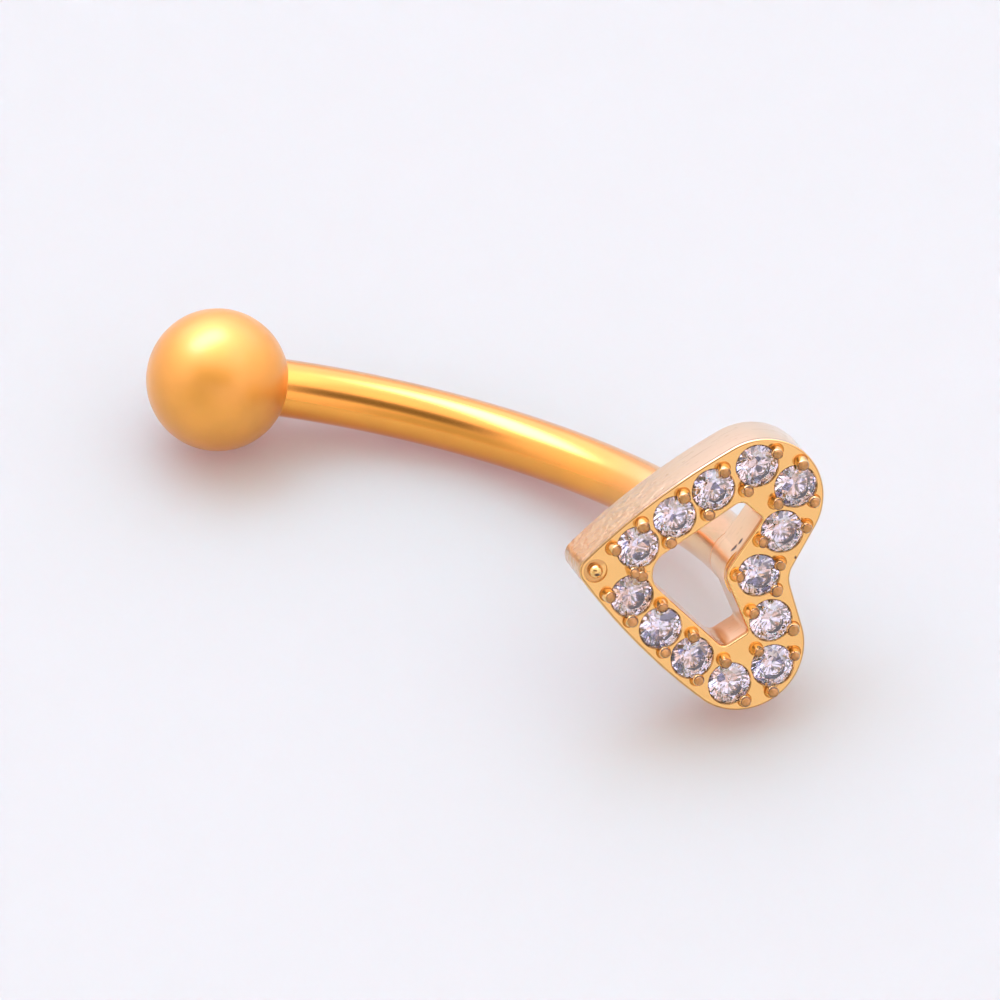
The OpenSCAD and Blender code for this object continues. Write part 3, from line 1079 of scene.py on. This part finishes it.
def seat_profile():
    """The stone's room: a small hole, a sloping floor, a wall and a cone over the crown."""
    girdle_h, pavilion_h = GIRDLE_SHARE * STONE_D, PAVILION_SHARE * STONE_D
    flat_share = math.cos(math.pi / MAIN_FACETS)
    inner = TABLE_SHARE * stone_r * flat_share
    star_r = inner + STAR_REACH * (stone_r - inner)
    crown_w = stone_r * (1 - TABLE_SHARE)
    star_h = CROWN_SHARE * STONE_D * (stone_r - star_r * flat_share) / crown_w
    floor_r = SEAT_FLOOR_SHARE * stone_r
    low = -GIRDLE_SINK - girdle_h - STONE_GAP
    floor = low - (room_r - floor_r) * pavilion_h / stone_r
    high = low + girdle_h + 2 * STONE_GAP
    top_h = CLAW_H + GIRDLE_SINK
    top_r = room_r - top_h * (stone_r - star_r) / star_h
    below = [(0, floor - floor_r), (floor_r, floor - floor_r), (floor_r, floor)]
    return below + [(room_r, low), (room_r, high), (top_r, high + top_h), (0, high + top_h)]


def drill(body, profile, sides=SEAT_SIDES):
    tools = [lathe("drill", profile, sides, Matrix.Translation(p)) for p in seat_places]
    cut(body, join(tools), "DIFFERENCE")


mouth = room_r + CHAMFER
drill(plate, [(0, -CHAMFER), (room_r, -CHAMFER), (mouth, 0), (mouth, DRILL_UP), (0, DRILL_UP)])
print("chamfered", len(plate.data.polygons), "faces")

# %% [markdown]
# The claws are small upright grains of gold that are bent over the edge of a stone. One
# claw is modelled and set down on each place, so it is a job for Geometry Nodes: a short
# curved line, swept by a circle that shrinks a little at the top, set on points. Each
# point knows which way its stone lies. A little chance keeps them hand-made.

# %% Claws
# Their places in the plan on one side of the heart, and their lengths on its middle line
SIDE_CLAWS = [
    (-3.16, 0.49),
    (-2.6, 1.04),
    (-1.99, 0.65),
    (-1.81, 1.68),
    (-1.26, 1.27),
    (-1.03, 2.25),
    (-0.52, 1.8),
    (0.04, 2.67),
    (0.58, 2.46),
    (0.14, 1.56),
    (0.96, 1.62),
    (0.87, 1.1),
    (-0.08, 0.75),
    (0.41, 0.29),
]
AXIS_CLAWS = [-2.68, -2.5, -0.47]
CLAW_R = 0.128
CLAW_SINK = 0.1
CLAW_BEND = 0.07
CLAW_POINTS = 22
CLAW_SIDES = 24
CLAW_SEED = 4
# The share of a claw's height where its top starts to shrink, and how blunt it stays
CLAW_ROUND = 0.8
CLAW_BLUNT = 1.25
# How far chance turns a claw, in radians, and thickens it, as a share
CLAW_TURN = 0.15
CLAW_THICKER = 0.1
side_claws = SIDE_CLAWS + [(x, -y) for x, y in SIDE_CLAWS]
claw_places = side_claws + [(x, 0) for x in AXIS_CLAWS]


def chance(tree, low, high, seed):
    """A number for each claw, between two bounds."""
    return tree.out("FunctionNodeRandomValue", {"data_type": "FLOAT"},
                    {2: low, 3: high, "Seed": seed}, 1)


def claw_group(sizes):
    group, tree, size = new_group("set_claws", sizes)
    top = tree.out("ShaderNodeCombineXYZ", None, {"Z": size["Height"]})
    foot = tree.out("ShaderNodeCombineXYZ", None, {"Z": 0 - size["Sink"]})
    line = tree.out("GeometryNodeCurvePrimitiveLine", None, {"Start": foot, "End": top})
    line = tree.out("GeometryNodeResampleCurve", None, {"Curve": line, "Count": CLAW_POINTS})
    share = tree.out("GeometryNodeSplineParameter")
    bent = tree.out("ShaderNodeCombineXYZ", None, {"X": share * share * size["Bend"]})
    line = tree.out("GeometryNodeSetPosition", None, {"Geometry": line, "Offset": bent})
    # only the last stretch shrinks, as a ball does, so that the claw keeps a flat top
    over = tree.maths("MAXIMUM", (share - CLAW_ROUND) / (1 - CLAW_ROUND), 0.0)
    rounded = tree.maths("SQRT", CLAW_BLUNT - over * over) / math.sqrt(CLAW_BLUNT)
    circle = tree.out("GeometryNodeCurvePrimitiveCircle", {"mode": "RADIUS"},
                      {"Resolution": CLAW_SIDES, "Radius": size["Radius"]})
    claw = tree.out("GeometryNodeCurveToMesh", None,
                    {"Curve": line, "Profile Curve": circle, "Scale": rounded, "Fill Caps": True})
    towards = tree.out("GeometryNodeInputNamedAttribute", {"data_type": "FLOAT"}, {"Name": "towards"})
    askew = chance(tree, -CLAW_TURN, CLAW_TURN, size["Seed"])
    turn = tree.out("ShaderNodeCombineXYZ", None, {"Z": towards + askew})
    thick = chance(tree, 1 - CLAW_THICKER, 1 + CLAW_THICKER, size["Seed"] + 1)
    scale = tree.out("ShaderNodeCombineXYZ", None, {"X": thick, "Y": thick, "Z": 1.0})
    spread = tree.out("GeometryNodeInstanceOnPoints", None,
                      {"Points": size["Geometry"], "Instance": claw, "Rotation": turn, "Scale": scale})
    end_group(tree, spread, heart_gold)
    return group


def make_claws():
    sizes = {
        "Radius": ("NodeSocketFloat", CLAW_R),
        "Height": ("NodeSocketFloat", CLAW_H),
        "Sink": ("NodeSocketFloat", CLAW_SINK),
        "Bend": ("NodeSocketFloat", CLAW_BEND),
        "Seed": ("NodeSocketInt", CLAW_SEED),
    }
    claws = add_object("claws", [(x, y, 0) for x, y in claw_places], [])
    towards = claws.data.attributes.new("towards", "FLOAT", "POINT")
    for i, (x, y) in enumerate(claw_places):
        near = min(seat_places, key=lambda p: math.hypot(p.x - x, p.y - y))
        towards.data[i].value = math.atan2(near.y - y, near.x - x)
    run_group(claw_group(sizes), claws, sizes)
    square_up(claws)
    return claws


claws = make_claws()
print("claws", len(claws.data.polygons), "faces for", len(claw_places))

# %% [markdown]
# Each claw was raised from the face, which left a shallow dish round it. Near the tip, a
# lone grain of metal stands in a round cut. A boss as wide as the bar rises behind the
# nose of the opening to just under the face, and a post behind it goes into the bar. All
# of this is cut or soldered one after the other, and the seats are drilled last.

# %% Dishes, grain and boss
GRAIN_FAR = 3.45
GRAIN_R = 0.15
GRAIN_CUT_R = 0.24
GRAIN_CUT_DEPTH = 0.05
GRAIN_CUT_SLOPE = 0.03
GRAIN_STEPS = 12
GRAIN_SIDES = 32
DISH_R = 0.175
DISH_FLOOR_SHARE = 0.7
DISH_DEPTH = 0.03
DISH_UP = 0.01
DISH_SIDES = 24
BOSS_SINK = 0.16
SMALL_SIDES = 48
grain_place = Matrix.Translation((-GRAIN_FAR, 0, 0))


def cut_dishes():
    """A dish round every claw but the pair near the tip, which touch."""
    floor_r = DISH_FLOOR_SHARE * CLAW_R
    dish = [(0, -DISH_DEPTH), (floor_r, -DISH_DEPTH), (DISH_R, DISH_UP), (0, DISH_UP)]
    dished = side_claws + [(AXIS_CLAWS[-1], 0)]
    dishes = [lathe("dish", dish, DISH_SIDES, Matrix.Translation((x, y, 0))) for x, y in dished]
    cut(plate, join(dishes), "DIFFERENCE")


def cut_round_grain():
    """A flat-bottomed round cut, a little wider at its mouth."""
    low, wide = -GRAIN_CUT_DEPTH, GRAIN_CUT_R + GRAIN_CUT_SLOPE
    ring = [(0, low), (GRAIN_CUT_R, low), (wide, DRILL_UP), (0, DRILL_UP)]
    cut(plate, lathe("ring", ring, SMALL_SIDES, grain_place), "DIFFERENCE")


def solder_grain():
    profile = ball_profile(GRAIN_R, GRAIN_STEPS)
    cut(plate, lathe("grain", profile, GRAIN_SIDES, grain_place), "UNION")


def solder_boss():
    cut(plate, rod("boss", BAR_D / 2, SEAM, HEART_T - BOSS_SINK, heart_back), "UNION")
    post = rod("post", POST_D / 2, -POST_LEN, POST_GAP, heart_back, SMALL_SIDES)
    cut(plate, post, "UNION")


# %% [markdown]
# The order of the steps is a workshop's: cuts in the bare face, then solder, then the
# seats. The finished heart leaves the plan here and is laid in its place in the room.

# %% Heart
HEART_SHARP_TURN = 28.0


def make_heart():
    cut_round_grain()
    cut_dishes()
    cut(plate, claws, "UNION")
    solder_grain()
    solder_boss()
    drill(plate, seat_profile())
    square_up(plate)
    plate.data.transform(LAY)
    smooth(plate, HEART_SHARP_TURN, face_out)
    return plate


heart = make_heart()
print("heart", len(heart.data.polygons), "faces")

# %% [markdown]
# The stones are cut crystal: clear and strongly refracting. Most of their light comes
# from their facets, so the finish is plain glass with a high refractive index, and only
# a breath of roughness where fingers have been. A real stone also mirrors the dark room
# and its gold claws in small splinters, many more than these facets give. They could be
# drawn one by one, but here they are painted into the stone's colour: a Voronoi pattern
# cuts the stones into cells of their size by itself, each cell has a colour by chance,
# and two of its channels pick the few cells of painted dark reflection and the more
# frequent ones of painted gold reflection.

# %% Stones
STONE_IOR = 2.18
STONE_PALE = (0.85, 0.84, 0.94, 1)
STONE_GOLD_REFLECTION = (0.66, 0.45, 0.33, 1)
STONE_DARK_REFLECTION = (0.03, 0.03, 0.07, 1)
SHARDS = 7000.0
DARK_REFLECTION_SHARDS = (0.07, 0.09)
GOLD_REFLECTION_SHARDS = (0.3, 0.34)
STONE_CLOUDS = 1500.0
STONE_ROUGH = 0.01


def channel(tree, colour, name):
    """One channel of a colour, as a wire."""
    return tree.out("ShaderNodeSeparateColor", None, {"Color": colour}, name)


def stone_finish():
    finish, tree, shader = start_finish("clear_stone", IOR=STONE_IOR, Transmission_Weight=1.0)
    where = tree.coordinates()
    cell = tree.out("ShaderNodeTexVoronoi", None, {"Vector": where, "Scale": SHARDS}, "Color")
    dark_reflection = 1 - tree.ramp(channel(tree, cell, "Red"), *DARK_REFLECTION_SHARDS)
    gold_reflection = 1 - tree.ramp(channel(tree, cell, "Green"), *GOLD_REFLECTION_SHARDS)
    # painted reflections: dark cells for the dark room, warm cells for the gold claws
    tint = tree.blend(dark_reflection, tree.blend(gold_reflection, STONE_PALE, STONE_GOLD_REFLECTION), STONE_DARK_REFLECTION)
    cloud = noise(tree, where, STONE_CLOUDS)
    feed(tree, shader, Base_Color=tint, Roughness=cloud * STONE_ROUGH)
    return finish


crystal = stone_finish()
for name in stone_names:
    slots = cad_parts[name].data.materials
    slots.clear()
    slots.append(crystal)
print(len(stone_names), "stones have their finish")

# %% [markdown]
# Every new piece rides on the barbell's one body and stands for the measured part of
# the same form.

# %% Hand over
for piece, node, slot in ((bar, "curved_bar", "bar_gold"), (ball, "ball_end", "ball_gold"),
                          (heart, "heart_setting", "heart_gold")):
    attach(piece, "root")
    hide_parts(node)
